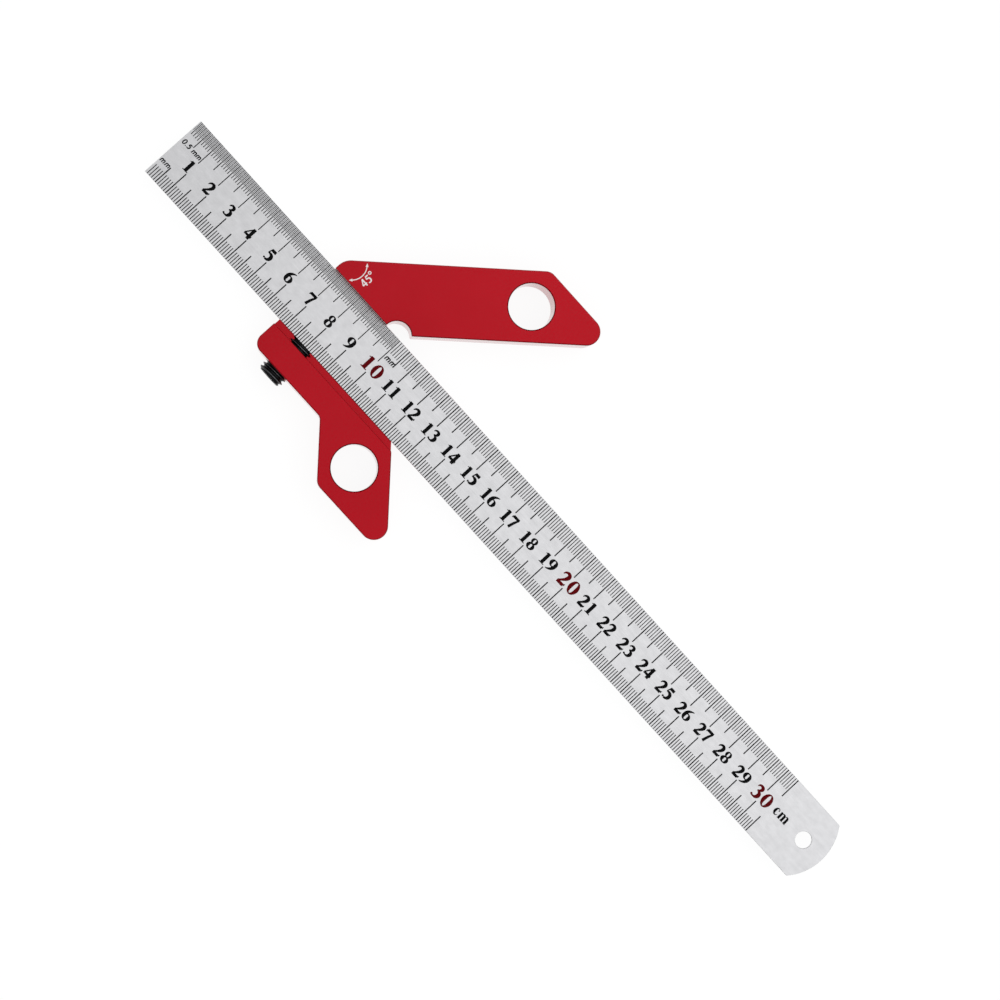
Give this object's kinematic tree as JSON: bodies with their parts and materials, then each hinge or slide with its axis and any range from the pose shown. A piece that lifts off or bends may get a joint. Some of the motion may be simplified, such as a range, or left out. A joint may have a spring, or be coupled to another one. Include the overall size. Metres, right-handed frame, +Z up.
{
  "type": "center scribing ruler",
  "caption": "V-shaped red metal frame with a steel rule that slides through it on the V's bisector and a set screw that clamps the rule, for marking centers and 45 degree lines.",
  "frame": {"origin": "middle of the rule's length, on the line of its scribing edge, on the plane that the frame rests on", "axes": "+X along the rule, away from its zero; +Y towards the arm with the angle mark; +Z up, out of the marked face"},
  "size_m": [0.331, 0.108, 0.013],
  "materials": {
    "frame": "satin red anodised",
    "rule": "satin, with etched and filled marks",
    "set_screw": "black oxide"
  },
  "bodies": {
    "frame": {"frame": "frame"},
    "rule": {"rule": "rule"},
    "set_screw": {"set_screw": "set_screw"}
  },
  "joints": [
    {"name": "rule_slide", "type": "slide", "parent": "frame", "child": "rule", "axis": [1, 0, 0], "range_m": [-0.2, 0.067]},
    {"name": "screw_travel", "type": "slide", "parent": "frame", "child": "set_screw", "axis": [0, -1, 0], "range_m": [0, 0.006]}
  ]
}
